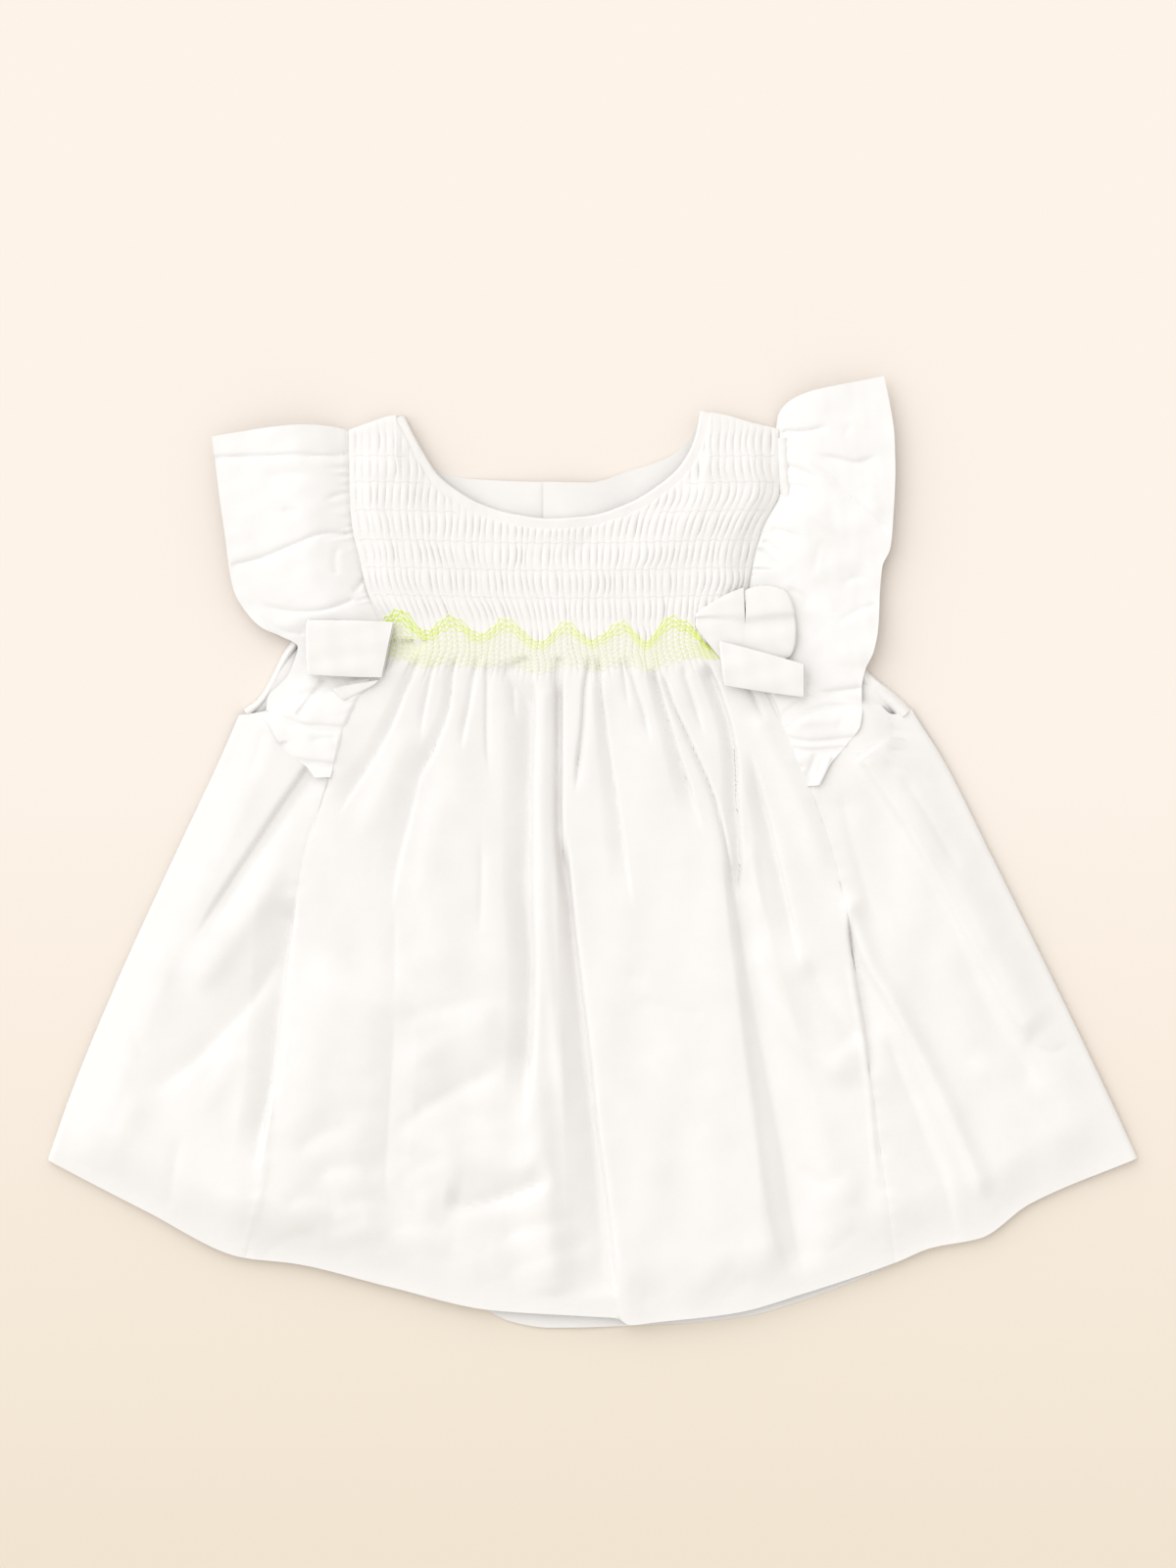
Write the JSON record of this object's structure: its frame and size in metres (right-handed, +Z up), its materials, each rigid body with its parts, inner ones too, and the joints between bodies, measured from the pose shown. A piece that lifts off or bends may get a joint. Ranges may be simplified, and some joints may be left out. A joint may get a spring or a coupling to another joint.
{
  "type": "toddler dress",
  "caption": "White cotton toddler dress laid flat: smocked yoke with bright embroidery, flutter ruffles, side bows and a gathered flared skirt.",
  "frame": {"origin": "centre of the dress's outline, on the surface that its back lies on", "axes": "+X across the dress towards the ruffle whose corner stands higher, +Y from the hem to the neck, +Z up from the surface through the front"},
  "size_m": [0.4995, 0.4358, 0.0202],
  "materials": {
    "cotton": "fine plain-weave cotton, matt with a faint sheen",
    "white_thread": "spun sewing thread",
    "lime_thread": "stranded embroidery thread, bright yellow-green",
    "pale_lime_thread": "stranded embroidery thread, pale yellow-green",
    "button": "pearly white"
  },
  "bodies": {
    "root": {"front_panel": "cotton", "side_front_left": "cotton", "side_front_right": "cotton", "back_left": "cotton", "back_right": "cotton", "ruffle_left": "cotton", "ruffle_right": "cotton", "neck_binding": "cotton", "armhole_binding_left": "cotton", "armhole_binding_right": "cotton", "bow_left_loop_over": "cotton", "bow_left_loop_under": "cotton", "bow_left_knot": "cotton", "bow_right_loop_left": "cotton", "bow_right_loop_right": "cotton", "bow_right_loop_under": "cotton", "bow_right_knot": "cotton", "button_1": "button", "button_2": "button", "button_3": "button"}
  },
  "joints": []
}
